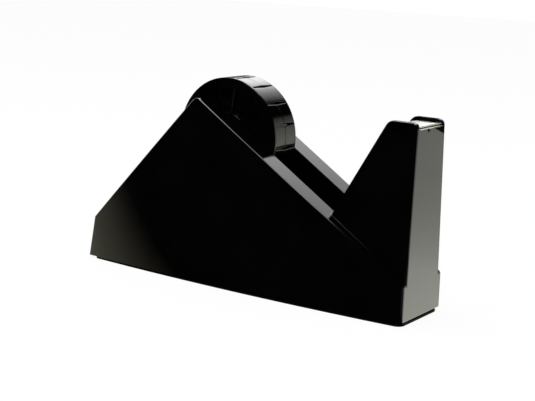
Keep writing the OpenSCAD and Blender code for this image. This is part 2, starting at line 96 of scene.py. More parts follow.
class ShellSizes(bpy.types.PropertyGroup):
    """Sizes of the body shell."""

    body_l: length("Length", "Length of the body along the table", shell_high.x - shell_low.x)
    half_w: length("Half width", "Half of the body's width at its foot", shell_high.y)
    base_z: length("Foot height", "Height of the shell's foot at the rear", shell_low.z)
    foot_rise: length("Foot rise", "How much higher the foot lies at the front", 1.2 * MM)
    side_bow_r: length("Side bow", "Plan radius of the long bowed sides", 1650 * MM)
    side_draft: lean("Side draft", "Lean of each side per height", 0.012)
    front_lean: lean("Front lean", "Lean of the front face per height", 0.012)
    wall: length("Wall", "Thickness of the moulded walls", 2.5 * MM)
    rear_corner_h: length("Rear corner", "Height of the corner of the rear end", 29.5 * MM)
    rear_rake: length("Rear rake", "How far the rear end leans in up to its corner", 4.5 * MM)
    ridge_from_rear: length("Ridge place", "Distance of the ridge from the rear end", 90.8 * MM)
    ridge_h: length("Ridge height", "Height where the two slopes would meet", 121.4 * MM)
    ridge_r: length("Ridge radius", "Radius that rounds the ridge", 4.5 * MM)
    rear_corner_r: length("Rear corner radius", "Radius of the rear corner", 2 * MM)
    step_h: length("Step height", "Height of the ledges at the front face", 24.8 * MM)
    tower_h: length("Tower height", "Height of the two cheeks", 119.85 * MM)
    tower_top_l: length("Cheek length", "Length of the cheeks' top", 19.8 * MM)
    tower_slope: degrees("Tower slope", "Angle of the tower's rear slope from the table", 60.9)
    tower_half_w: length("Tower half width", "Half of the tower's width at the foot", 21.9 * MM)
    tower_draft: lean("Tower draft", "Lean of each tower side per height", 0.036)
    cheek_rear_r: length("Cheek rear radius", "Radius of the cheeks' rear top corner", 5.5 * MM)
    cheek_front_r: length("Cheek front radius", "Radius of the cheeks' front top corner", 3.5 * MM)
    half_channel: length("Half channel", "Half of the width of the roll channel", 13.75 * MM)
    trough_r: length("Trough radius", "Radius of the trough round the axle", 58 * MM)
    floor_h: length("Channel floor", "Height of the channel's flat floor", 40 * MM)
    slot_half_w: length("Axle slot half width", "Half of the width of the axle slots", 2.65 * MM)
    slot_deep: length("Axle slot depth", "Depth of the axle slots into the walls", 5 * MM)
    seat_drop: length("Seat drop", "Depth of the cutter seat below the cheeks' top", 2.85 * MM)
    seat_r: length("Seat radius", "Radius of the seat's rear edge", 12 * MM)
    pocket_deep: length("Pocket depth", "Depth of the blade's pocket below the seat", 1.35 * MM)
    pocket_l: length("Pocket length", "Length of the blade's pocket", 13 * MM)
    flare_l: length("Flare length", "How far behind the front the cheeks' ends start to open", 2.7 * MM)
    flare_w: length("Flare width", "How far each cheek's end opens at the front", 2.05 * MM)
    notch_w: length("Notch width", "Width of the small notch under the blade", 4.4 * MM)
    notch_h: length("Notch height", "Height of the small notch under the blade", 2.3 * MM)
    notch_y: length("Notch place", "Place of the small notch across the front", -3.8 * MM)
    boss_r: length("Boss radius", "Radius of the screw bosses inside", 4 * MM)
    front_corner_r: length("Front corner radius", "Radius of the foot's upright front corners", 1.9 * MM)
    tower_edge_r: length("Tower edge radius", "Radius of the tower's outer edges", 1.5 * MM)
    tower_foot_r: length("Tower foot radius", "Radius where the tower meets the ledges", 0.15 * MM)
    top_edge_r: length("Top edge radius", "Radius between the sides and the slopes", 1.0 * MM)
    inner_edge_r: length("Inner edge radius", "Radius of the channel's and the slots' edges", 0.45 * MM)
    seat_edge_r: length("Seat edge radius", "Radius of the edges over the seat", 0.25 * MM)


class WheelSizes(bpy.types.PropertyGroup):
    """Sizes of the roll wheel."""

    hub_r: length("Radius", "Radius of the wheel", (wheel_high.x - wheel_low.x) / 2)
    half_w: length("Half width", "Width of one moulded half", wheel_high.y)
    rim_t: length("Rim", "Thickness of the rim", 4 * MM)
    face_r: length("Face opening", "Radius of the opening inside the rim's face", 31 * MM)
    disc_r: length("Disc radius", "Radius of the middle disc", 15 * MM)
    disc_depth: length("Disc depth", "Depth of the middle disc below the wheel's face", 0.2 * MM)
    tube_r: length("Tube radius", "Radius of the tube round the axle", 9 * MM)
    bore_r: length("Bore radius", "Radius of the bore", 4.05 * MM)
    web_t: length("Web", "Thickness of the web", 2.5 * MM)
    web_depth: length("Web depth", "Depth of the web below the wheel's face", 3 * MM)
    slots: IntProperty(name="Slots", description="Number of slots across the rim", default=16)
    slot_phase: degrees("Slot phase", "Angle of the first slot forward of the top", 6.5)
    slot_mid_w: length("Slot width", "Width of a slot at the seam", 2.2 * MM)
    slot_end_w: length("Slot end width", "Width of a slot at its outer end", 0.8 * MM)
    slot_deep: length("Slot depth", "Depth of a slot", 2.6 * MM)
    rim_border: length("Rim border", "Plain border of the rim outside the slots", 1.6 * MM)
    rib_t: length("Rib", "Thickness of the radial ribs on the web", 1.6 * MM)
    rib_h: length("Rib height", "Height of the radial ribs over the web", 2 * MM)
    edge_r: length("Edge radius", "Radius of the rim's outer edge", 0.7 * MM)
    small_r: length("Small edge radius", "Radius of the edges of the face, the disc and the bore", 0.3 * MM)
    fillet_r: length("Fillet", "Radius at the foot of the rim's and the disc's walls", 0.4 * MM)
    slot_edge_r: length("Slot edge radius", "Radius of the slots' edges", 0.35 * MM)
    seam_r: length("Seam radius", "Radius of the rim's edge at the seam", 0.16 * MM)
    pegs: IntProperty(name="Pegs", description="Number of joining pegs", default=4)
    peg_r: length("Peg radius", "Radius of the joining pegs", 2 * MM)
    peg_ring_r: length("Peg ring", "Distance of the pegs from the axle", 24 * MM)
    peg_l: length("Peg length", "Length of a peg past the seam", 4.5 * MM)
    peg_gap: length("Peg gap", "Gap round a peg in its hole", 0.05 * MM)
    peg_lead: length("Peg lead", "Length of a peg's tapered end, and its hole's spare depth", 0.3 * MM)


class CutterSizes(bpy.types.PropertyGroup):
    """Sizes of the tape rest plate and the blade."""

    plate_t: length("Plate thickness", "Thickness of the tape rest plate", 0.8 * MM)
    half_w: length("Half width", "Half of the width of the plate and the blade", plate_high.y)
    flange_l: length("Flange", "Length of the plate's flange down the slope", 3.5 * MM)
    plate_setback: length("Setback", "Distance of the plate's fold behind the front face", 1.4 * MM)
    fold_r: length("Fold radius", "Outer radius of the plate's fold at the front", 0.3 * MM)
    lip_gap: length("Lip gap", "Gap between the plate's lip and the blade", 0.25 * MM)
    blade_t: length("Blade thickness", "Thickness of the blade", 1.0 * MM)
    tooth_pitch: length("Tooth pitch", "Spacing of the teeth", 1.5 * MM)
    tooth_deep: length("Tooth depth", "Depth of the teeth", 1.5 * MM)
    grind_l: length("Grind", "Length of the ground slope behind the teeth", 1.0 * MM)
    tip_t: length("Tip", "Thickness of a tooth at its tip", 0.15 * MM)


class MatSizes(bpy.types.PropertyGroup):
    """Sizes of the anti-slip mat."""

    margin: length("Margin", "Margin of the mat inside the sides and the front", 0.8 * MM)
    rear_margin: length("Rear margin", "Margin of the mat at the rear end", 4 * MM)
    corner_r: length("Corner radius", "Corner radius of the mat", 5 * MM)


class FinishColours(bpy.types.PropertyGroup):
    """Colours of the finishes, as sRGB hex values."""

    body: colour("Body plastic", "Black of the moulded body", "#020202")
    wheel: colour("Wheel plastic", "Black of the moulded wheel", "#020202")
    base: colour("Base plastic", "Matt black of the base plate", "#1c1c1d")
    mat: colour("Mat rubber", "Black of the foam rubber mat", "#080808")
    iron: colour("Cast iron", "Grey of the raw castings", "#4a4947")
    zinc: colour("Zinc", "Grey of the plated screws", "#b9bcc0")
    axle: colour("Axle steel", "Grey of the drawn axle", "#c4c5c6")
    clip: colour("Ring steel", "Grey of the blackened rings", "#3b3c40")
    plate: colour("Plate nickel", "White of the nickel plated rest plate", "#e4e2df")
    blade: colour("Blade steel", "Grey of the stamped blade", "#dedad0")


# Outlines and surfaces


def unit(v):
    """v, or each row of v, scaled to length one."""
    return v / np.linalg.norm(v, axis=-1, keepdims=True)


def left_of(v):
    """v, or each row of v, turned left by a right angle in its plane."""
    return np.stack([-v[..., 1], v[..., 0]], -1)


def meeting(p, u, q, v):
    """Where the line through p along u meets the line through q along v. The first axis holds x and y."""
    w = q - p
    return p + u * (w[0] * v[1] - w[1] * v[0]) / (u[0] * v[1] - u[1] * v[0])


def inset(points, depths):
    """A convex anticlockwise outline whose edge i, which ends at corner i, is moved inward by depths[i].
    A corner goes where its two moved edges meet."""
    before = np.roll(points, 1, 0)
    along = unit(points - before)
    moved = before + left_of(along) * np.array(depths)[:, None]
    return meeting(moved.T, along.T, np.roll(moved, -1, 0).T, np.roll(along, -1, 0).T).T


def corner_arc(a, b, c, radius, steps):
    """The arc that rounds the corner b between a and c: its centre lies on the corner's bisector."""
    a, b, c = (np.asarray(p, float) for p in (a, b, c))
    u, v = unit(a - b), unit(c - b)
    half = math.acos(np.clip(u @ v, -1, 1)) / 2
    centre = b + unit(u + v) * radius / math.sin(half)
    start = b + u * radius / math.tan(half) - centre
    end = b + v * radius / math.tan(half) - centre
    first = math.atan2(start[1], start[0])
    turn = (math.atan2(end[1], end[0]) - first + 3 * math.pi) % (2 * math.pi) - math.pi
    angle = first + turn * np.linspace(0, 1, steps + 1)
    return centre + radius * np.stack([np.cos(angle), np.sin(angle)], 1)


def rounded(points, radii, steps=10):
    """An outline with corner i rounded to radii[i], or left sharp where that is 0."""
    pts = [np.asarray(p, float) for p in points]
    count = len(pts)
    parts = [
        corner_arc(pts[i - 1], pts[i], pts[(i + 1) % count], r, steps) if r else pts[i][None]
        for i, r in enumerate(radii)
    ]
    return np.concatenate(parts)


def new_piece(name, verts, faces):
    """An object at the origin whose mesh has these points and faces."""
    mesh = bpy.data.meshes.new(name)
    mesh.from_pydata(np.asarray(verts, float).tolist(), [], [list(map(int, f)) for f in faces])
    mesh.validate()
    mesh.update()
    piece = bpy.data.objects.new(name, mesh)
    bpy.context.scene.collection.objects.link(piece)
    return piece


def ring_faces(rows, cols, wrap_rows, wrap_cols):
    """Quads of a grid of rows by cols points, closed on itself where asked."""
    i = np.arange(rows if wrap_rows else rows - 1)[:, None]
    j = np.arange(cols if wrap_cols else cols - 1)[None, :]
    i2, j2 = (i + 1) % rows, (j + 1) % cols
    quads = np.stack([i * cols + j, i * cols + j2, i2 * cols + j2, i2 * cols + j], -1)
    return quads.reshape(-1, 4)


@contextmanager
def edited(piece):
    """A piece's mesh as a BMesh, which is written back at the end."""
    work = bmesh.new()
    work.from_mesh(piece.data)
    yield work
    work.to_mesh(piece.data)
    work.free()


def outward(piece):
    """Turns a closed piece's faces outwards."""
    with edited(piece) as work:
        bmesh.ops.recalc_face_normals(work, faces=work.faces)
    return piece


def ruled(name, first, second):
    """A closed piece between two outlines with as many points each: quads run between them, and a cap closes
    each."""
    count = len(first)
    caps = [list(range(count)), list(range(2 * count - 1, count - 1, -1))]
    sides = ring_faces(2, count, False, True).tolist()
    return outward(new_piece(name, np.concatenate([first, second]), sides + caps))


def spread(name, outline, near, far):
    """A side outline in X and Z spread across Y from near to far, each one number or one per point."""
    x, z = np.asarray(outline, float).T
    return ruled(name, *(np.column_stack([x, np.broadcast_to(y, len(x)), z]) for y in (near, far)))


def raised(name, outline, low, high):
    """A plan outline in X and Y raised from low to high."""
    x, y = np.asarray(outline, float).T
    return ruled(name, *(np.column_stack([x, y, np.full(len(x), z)]) for z in (low, high)))


def posts(name, places, radius, low, high, sides=32):
    """Upright round posts at places in X and Y, joined as one mesh."""
    angle = np.arange(sides) * 2 * math.pi / sides
    circle = radius * np.stack([np.cos(angle), np.sin(angle)], 1)
    first, *others = (raised(name, circle + place, low, high) for place in places)
    for other in others:
        combine(first, other, "UNION")
    return first


def combine(piece, tool, operation):
    """Joins, cuts or intersects piece with tool, which is then removed."""
    step = piece.modifiers.new(operation.lower(), "BOOLEAN")
    step.operation = operation
    step.solver = "EXACT"
    step.object = tool
    graph = bpy.context.evaluated_depsgraph_get()
    mesh = bpy.data.meshes.new_from_object(piece.evaluated_get(graph))
    old, spent = piece.data, tool.data
    piece.modifiers.clear()
    piece.data = mesh
    mesh.name = piece.name
    bpy.data.objects.remove(tool)
    bpy.data.meshes.remove(old)
    bpy.data.meshes.remove(spent)


def merge_flats(piece, angle=0.04):
    """Merges doubled points, and flat faces side by side that meet at less than angle, in degrees."""
    apart = 0.002 * MM
    with edited(piece) as work:
        bmesh.ops.remove_doubles(work, verts=work.verts, dist=apart)
        bmesh.ops.dissolve_degenerate(work, dist=apart, edges=work.edges)
        bmesh.ops.dissolve_limit(work, angle_limit=math.radians(angle), verts=work.verts, edges=work.edges)
    return piece


def round_edges(piece, radius_at):
    """Rounds each edge sharper than 20 degrees to the radius that radius_at gives for its middle, by a Bevel
    modifier that reads one weight per edge."""
    least = math.radians(20)
    with edited(piece) as work:
        layer = work.edges.layers.float.new("bevel_weight_edge")
        sharp = [e for e in work.edges if len(e.link_faces) == 2 and e.calc_face_angle(0.0) >= least]
        radii = {e: radius_at((e.verts[0].co + e.verts[1].co) / 2, e) for e in sharp}
        widest = max(radii.values())
        for edge, radius in radii.items():
            edge[layer] = radius / widest
            edge.smooth = radius > 0
        for face in work.faces:
            face.smooth = True
    bevel = piece.modifiers.new("rounded edges", "BEVEL")
    bevel.limit_method = "WEIGHT"
    bevel.width = widest
    bevel.segments = 4
    bevel.use_clamp_overlap = False
    flats = piece.modifiers.new("flat faces stay flat", "WEIGHTED_NORMAL")
    flats.weight = 80
    flats.keep_sharp = True


def all_smooth(piece):
    """Smooth shading on every face."""
    piece.data.polygons.foreach_set("use_smooth", np.ones(len(piece.data.polygons), bool))


def soft_edges(piece, radius):
    """Smooth faces, with every edge sharper than 30 degrees rounded to one radius."""
    all_smooth(piece)
    bevel = piece.modifiers.new("rounded edges", "BEVEL")
    bevel.limit_method = "ANGLE"
    bevel.angle_limit = math.radians(30)
    bevel.width = radius
    bevel.segments = 2
    bevel.harden_normals = True
    return piece


def merged_copy(node, name):
    """A copy of a frame node with its loose triangles merged into whole faces."""
    piece = bpy.data.objects.new(name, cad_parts[node].data.copy())
    bpy.context.scene.collection.objects.link(piece)
    return merge_flats(piece, 0.5)


def place(piece, body, slot, key, node):
    """Gives a piece a finish by its key and its body, and hides the frame node that it stands for. The slot is
    not used.
    """
    piece.data.materials.clear()
    piece.data.materials.append(FINISHES[key])
    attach(piece, body)
    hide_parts(node)


# Forms of the body


def front_x(s, z):
    """The front face: it leans back by front_lean per height."""
    return s.body_l / 2 - s.front_lean * (z - s.base_z)


def tower_rear_x(s, z):
    """The tower's rear slope, a line at tower_slope through the cheeks' rear top corner."""
    return front_x(s, s.tower_h) - s.tower_top_l - (s.tower_h - z) / math.tan(s.tower_slope)


def foot_z(s, x):
    """Height of the shell's foot, which rises evenly by foot_rise from the rear end to the front face."""
    return s.base_z + s.foot_rise * (x / s.body_l + 0.5)


def seat_z(s):
    """Height of the cutter seat between the cheeks."""
    return s.tower_h - s.seat_drop


def pocket_z(s):
    """Height of the floor of the blade's pocket."""
    return seat_z(s) - s.pocket_deep


def side_y(s, x, z, depth=0.0):
    """Half width of the body: a cone of plan radius side_bow_r about an upright axis far across the body, so
    y = half_w - depth - R + sqrt((R - draft * height)^2 - x^2)."""
    r = s.side_bow_r - s.side_draft * (z - s.base_z)
    return s.half_w - depth - s.side_bow_r + np.sqrt(r * r - x * x)


def tower_y(s, z, depth=0.0):
    """Half width of the tower, which falls by tower_draft per height."""
    return s.tower_half_w - depth - s.tower_draft * (z - s.base_z)


def rear_slope(s):
    """Unit vectors up the tower's rear slope and out of it, and the corner where it would meet the seat."""
    slope = np.array([math.cos(s.tower_slope), math.sin(s.tower_slope)])
    return slope, left_of(slope), np.array([tower_rear_x(s, seat_z(s)), seat_z(s)])


def wedge_corners(s):
    """Corners of the wedge seen from the side, anticlockwise from the rear foot."""
    half = s.body_l / 2
    return np.array([
        [-half, s.base_z],
        [front_x(s, foot_z(s, half)), foot_z(s, half)],
        [front_x(s, s.step_h), s.step_h],
        [s.ridge_from_rear - half, s.ridge_h],
        [s.rear_rake - half, s.rear_corner_h],
    ])


def tower_corners(s):
    """Corners of the tower seen from the side, anticlockwise from its rear foot, inside the wedge."""
    low = s.base_z + 6 * MM
    return np.array([
        [tower_rear_x(s, low), low],
        [front_x(s, low), low],
        [front_x(s, s.tower_h), s.tower_h],
        [tower_rear_x(s, s.tower_h), s.tower_h],
    ])


def wedge(name, s, depth, past):
    """The wedge inside its bowed sides at a depth. Column u of a side runs straight from a point of the foot
    line to a point of the top line, and y is side_y there. Past is how far it runs on beyond the front face.
    With a depth it is an inner form, and its corners are sharp."""
    corners = inset(wedge_corners(s), [depth, -past if depth else 0, -past, depth, depth])
    rear_foot, front_foot, front_top, ridge, rear_top = corners
    ridge_points, rear_points = ridge[None], rear_top[None]
    if not depth:
        ridge_points = corner_arc(front_top, ridge, rear_top, s.ridge_r, 24)[::-1]
        rear_points = corner_arc(ridge, rear_top, rear_foot, s.rear_corner_r, 6)[::-1]
    rise = np.linspace(0, 1, 17)[1:-1, None]
    # The last column before the front face is left out, so that the front corner lands in one wide column
    fall = np.linspace(0, 1, 27)[1:-2, None]
    top = np.concatenate([
        rear_points,
        rear_points[-1] * (1 - rise) + ridge_points[0] * rise,
        ridge_points,
        ridge_points[-1] * (1 - fall) + front_top * fall,
        front_top[None],
    ])
    turns = len(rear_points)
    ridge_from = turns + len(rise)
    ridge_to = ridge_from + len(ridge_points) - 1
    # Columns start at these points of the top line: each rounded corner has one wide column
    starts = np.array([0, *range(turns, ridge_from + 1), *range(ridge_to, len(top))])
    share = (top[starts, 0] - top[0, 0]) / (top[-1, 0] - top[0, 0])
    foot = rear_foot + (front_foot - rear_foot) * share[:, None]
    low, total = len(foot), len(foot) + len(top)
    x, z = np.concatenate([foot, top]).T
    y = side_y(s, x, z, depth)
    sides = np.concatenate([np.column_stack([x, -y, z]), np.column_stack([x, y, z])])
    columns = [[k, k + 1, *range(low + starts[k + 1], low + starts[k] - 1, -1)] for k in range(low - 1)]
    faces = columns + [[k + total for k in reversed(column)] for column in columns]
    # Strips from side to side: the foot, the two slopes, and the short ones round the corners
    strips = [(0, low - 1), (low + turns - 1, low + ridge_from), (low + ridge_to, total - 1)]
    strips += [(low + k, low + k + 1) for k in (*range(turns - 1), *range(ridge_from, ridge_to))]
    for first, last in strips:
        run = list(range(first, last + 1))
        faces.append(run + [k + total for k in reversed(run)])
    faces += [[k, top_k, top_k + total, k + total] for k, top_k in ((0, low), (low - 1, total - 1))]
    return outward(new_piece(name, sides, faces))


def tower(name, s, depth, past, top_depth):
    """The tower between its leaning sides at a depth."""
    corners = inset(tower_corners(s), [depth, -past if depth else 0, -past, top_depth])
    outline = rounded(corners, [0, 0, 0, 0 if depth else s.cheek_rear_r], 12)
    y = tower_y(s, outline[:, 1], depth)
    return spread(name, outline, -y, y)


def behind_front(name, s, depth):
    """All behind the leaning front face and, for the outside, under the cheeks' rounded front corner."""
    low, sky, back = s.base_z - 4 * MM, s.ridge_h + 20 * MM, -s.body_l
    if depth:
        points = [[back, low], [front_x(s, low) - depth, low], [front_x(s, sky) - depth, sky], [back, sky]]
        radii = [0] * 4
    else:
        # Anywhere between the ridge and the tower
        middle = 0.3 * tower_rear_x(s, s.tower_h)
        points = [[back, low], [front_x(s, low), low], [front_x(s, s.tower_h), s.tower_h]]
        points += [[middle, s.tower_h], [middle, sky], [back, sky]]
        radii = [0, 0, s.cheek_front_r, 0, 0, 0]
    return spread(name, rounded(points, radii, 12), -2 * s.half_w, 2 * s.half_w)


def channel(name, s, grow, front):
    """The roll channel with its round trough, grown by a wall: an arc about the axle, then the flat floor as
    far as front, which gives an x for a height."""
    r, floor, sky = s.trough_r + grow, s.floor_h - grow, s.ridge_h + 30 * MM
    angle = np.linspace(-math.pi, math.asin((floor - hub.z) / r), 72)
    arc = np.stack([hub.x + r * np.cos(angle), hub.z + r * np.sin(angle)], 1)
    outline = np.concatenate([arc, [[front(floor), floor], [front(sky), sky], [hub.x - r, sky]]])
    y = s.half_channel + grow
    return spread(name, outline, -y, y)


def seat(name, s):
    """The space over the cutter seat and its pocket, with a round rear edge that starts on the rear slope."""
    top, floor = seat_z(s), pocket_z(s)
    pocket_x = front_x(s, top) - s.pocket_l
    sky, past = s.tower_h + 10 * MM, s.body_l / 2 + 5 * MM
    slope, out, corner = rear_slope(s)
    arc = corner_arc(corner - slope, corner, corner + [MM, 0], s.seat_r, 12)
    outside = arc[0] - slope * 4 * MM + out * 0.1 * MM
    far_out = outside + out * 10 * MM
    tail = [[pocket_x, top], [pocket_x, floor], [past, floor], [past, sky], [far_out[0], sky]]
    outline = np.concatenate([[far_out, outside], arc, tail])
    return spread(name, outline, -s.half_channel, s.half_channel)


def opening(s, x):
    """How far the cheeks' ends have opened at x: in proportion from flare_l behind the front face."""
    return s.flare_w * np.clip((np.asarray(x) - front_x(s, seat_z(s)) + s.flare_l) / s.flare_l, 0, 1)


def flare(name, s):
    """The space between the cheeks' ends, which open towards the front so that the plate's ends show."""
    start, past = front_x(s, pocket_z(s)) - s.flare_l, 3 * MM
    end = start + s.flare_l + past
    wide = s.half_channel + s.flare_w * (s.flare_l + past) / s.flare_l
    plan = [[start, -s.half_channel], [end, -wide], [end, wide], [start, s.half_channel]]
    return raised(name, plan, pocket_z(s), s.tower_h + 10 * MM)


def axle_slots(name, s, grow):
    """The open slots of the axle's ends, or the blocks behind them when grown by a wall."""
    low, sky = axle_low.z - 0.3 * MM - grow, s.ridge_h + 25 * MM
    w = s.slot_half_w + grow
    outline = [[hub.x - w, low], [hub.x + w, low], [hub.x + w, sky], [hub.x - w, sky]]
    y = s.half_channel + s.slot_deep + grow
    return spread(name, outline, -y, y)


def front_notch(name, s):
    """The small vee notch through the front wall under the blade."""
    z, y, w = pocket_z(s), s.notch_y, s.notch_w / 2
    ends = front_x(s, z) - s.wall / 2, s.body_l / 2 + 4 * MM
    vee = np.array([[y - w, z + MM], [y - w, z], [y, z - s.notch_h], [y + w, z], [y + w, z + MM]])
    return ruled(name, *(np.column_stack([np.full(len(vee), x), vee]) for x in ends))


def front_corner(name, s, side):
    """What the round front corner of the foot leaves off: at each height, all outside an arc of radius
    front_corner_r that touches the front face and the side; ruled between a low and a high outline."""
    rows = []
    for z in (s.base_z - 2 * MM, s.step_h + 8 * MM):
        x = front_x(s, z)
        tip = np.array([x, side_y(s, x, z)])
        back = np.array([x - s.front_corner_r, side_y(s, x - s.front_corner_r, z)])
        arc = corner_arc([x, 0], tip, back, s.front_corner_r, 10)
        out = 4 * s.front_corner_r
        far = [[arc[-1, 0], tip[1] + out], [x + out, tip[1] + out], [x + out, arc[0, 1]]]
        plan_x, plan_y = np.concatenate([arc, far]).T
        rows.append(np.column_stack([plan_x, side * plan_y, np.full(len(plan_x), z)]))
    return ruled(name, *rows)


def hollow(name, s):
    """The hollow in the shell: the outer forms at a wall's depth, less the channel's walls and the bosses."""
    past = 3 * MM
    inner = wedge(name, s, s.wall, past)
    combine(inner, tower("inner tower", s, s.wall, past, s.tower_h - pocket_z(s) + s.wall), "UNION")
    combine(inner, behind_front("inner front", s, s.wall), "INTERSECT")
    # A tenth of a millimetre keeps this wall off the tower's inner face, which lies in nearly the same plane
    back = s.wall / math.sin(s.tower_slope) + 0.1 * MM
    combine(inner, channel("channel walls", s, s.wall, lambda z: tower_rear_x(s, z) + back), "DIFFERENCE")
    combine(inner, axle_slots("slot blocks", s, s.wall), "DIFFERENCE")
    base_top, short_h = s.base_z + 3 * MM, 18 * MM
    front_in = s.wall + 0.9 * s.boss_r
    front_boss_x = s.body_l / 2 - front_in
    front_boss = (front_boss_x, side_y(s, front_boss_x, s.base_z) - front_in)
    rear_boss, middle_boss = (12 * MM - s.body_l / 2, 14 * MM), (0, 11 * MM)
    tall = [[x, side * y] for side in (-1, 1) for x, y in (rear_boss, middle_boss)]
    short = [[front_boss[0], side * front_boss[1]] for side in (-1, 1)]
    combine(inner, posts("tall bosses", tall, s.boss_r, base_top, s.ridge_h), "DIFFERENCE")
    combine(inner, posts("short bosses", short, s.boss_r, base_top, base_top + short_h), "DIFFERENCE")
    return inner


def shell_radius(s, skin):
    """The radius that each of the shell's sharp edges is rounded to, by where it lies; none on the inner
    skin, in the seat's corners and on the flare."""
    near, reach, touching, over_seat = 0.3 * MM, 8 * MM, 0.02 * MM, 0.5 * MM
    top, wall_y = seat_z(s), s.half_channel

    def radius_at(middle, edge):
        x, y, z = middle.x, abs(middle.y), middle.z
        behind = front_x(s, z) - x
        at_seat = z > top - reach and y < wall_y + near and x > tower_rear_x(s, top) - reach
        at_flare = z > pocket_z(s) - near and behind < s.flare_l + near
        if at_flare and wall_y - near < y < wall_y + s.flare_w + near:
            return 0.0
        in_seat_corner = at_seat and (not edge.is_convex or z < top + over_seat)
        if in_seat_corner or skin.find_nearest(middle)[3] < touching:
            return 0.0
        if z < foot_z(s, x) + near:
            return s.inner_edge_r
        if abs(tower_y(s, z) - y) < near:
            return s.tower_edge_r if edge.is_convex else s.tower_foot_r
        if side_y(s, x, z) - y < near or y > wall_y and behind < s.front_corner_r:
            return s.top_edge_r
        return s.seat_edge_r if at_seat else s.inner_edge_r

    return radius_at


def body_plan(s, margin, rear_in, corner_r):
    """Plan outline of the bowed body at a margin, with rounded corners."""
    x = np.linspace(rear_in - s.body_l / 2, s.body_l / 2 - margin, 41)
    # The points beside the corners make room for the arcs
    x = np.delete(x, [1, -2])
    y = side_y(s, x, s.base_z) - margin
    outline = np.concatenate([np.column_stack([x, -y]), np.column_stack([x, y])[::-1]])
    radii = np.zeros(len(outline))
    radii[[0, len(x) - 1, len(x), -1]] = corner_r
    return rounded(outline, radii)


# Forms of the wheel


def wheel_section(w):
    """The section of one half, from the seam over the rim, the face, the web, the disc and the bore and back
    inside. A row holds a radius, a depth from the seam, and its shares of the slots' depth and of the ribs'
    height."""
    rim_end = w.half_w - w.rim_border
    web, disc = w.half_w - w.web_depth, w.half_w - w.disc_depth
    groove = rim_end + 0.3 * MM
    seam_in = w.hub_r - w.seam_r
    f = w.fillet_r

    def arc(r, d, radius, start, steps=4):
        turns = np.radians(np.linspace(start, start + 90, steps + 1))
        return [(r + radius * math.cos(t), d + radius * math.sin(t), 0, 0) for t in turns]

    rows = [(seam_in - 1.2 * MM, 0.0, 1, 0)]
    rows += [(seam_in + w.seam_r * math.sin(t), w.seam_r * (1 - math.cos(t)), 1, 0)
             for t in np.linspace(0, math.pi / 2, 4)]
    rows += [(w.hub_r, d, 1, 0) for d in np.linspace(0.6 * MM, rim_end - 0.45 * MM, 8)]
    # The slots run out in a short round, and a fine groove lies outside them, both in millimetres
    run_out = ((0.25, 0.96), (0.12, 0.75), (0.04, 0.35), (0, 0))
    rows += [(w.hub_r, rim_end - d * MM, share, 0) for d, share in run_out]
    rows += [(w.hub_r - drop * MM, groove + d * MM, 0, 0) for drop, d in ((0, -0.1), (0.12, 0), (0, 0.1))]
    rows += arc(w.hub_r - w.edge_r, w.half_w - w.edge_r, w.edge_r, 0, 6)
    rows += arc(w.face_r + w.small_r, w.half_w - w.small_r, w.small_r, 90)
    rows += [(w.face_r + 0.08 * MM, web + 1.4 * MM, 0, 0)]
    rows += [(w.face_r + f * (math.cos(t) - 1), web + f * (1 - math.sin(t)), 0, 1 - math.cos(t))
             for t in np.linspace(0.15, math.pi / 2, 4)]
    rows += [(r, web, 0, 1) for r in np.linspace(w.face_r - 0.8 * MM, w.disc_r + 0.8 * MM, 10)]
    rows += [(w.disc_r + f * (1 - math.sin(t)), web + f * (1 - math.cos(t)), 0, math.cos(t))
             for t in np.linspace(0, math.pi / 2 - 0.1, 4)]
    rows += arc(w.disc_r - w.small_r, disc - w.small_r, w.small_r, 0)
    rows += arc(w.bore_r + w.small_r, disc - w.small_r, w.small_r, 90)
    rows += [(w.bore_r, d, 0, 0) for d in np.linspace(disc - 2 * MM, 0.6 * MM, 5)]
    rows += [(w.bore_r, 0.2 * MM, 0, 0), (w.bore_r + 0.2 * MM, 0, 0, 0), (w.tube_r, 0, 0, 0)]
    rows += [(w.tube_r, web - w.web_t, 0, 0)]
    rows += [(w.hub_r - w.rim_t, web - w.web_t, 0, 0), (w.hub_r - w.rim_t, 0, 0, 0)]
    return np.array(rows, float)


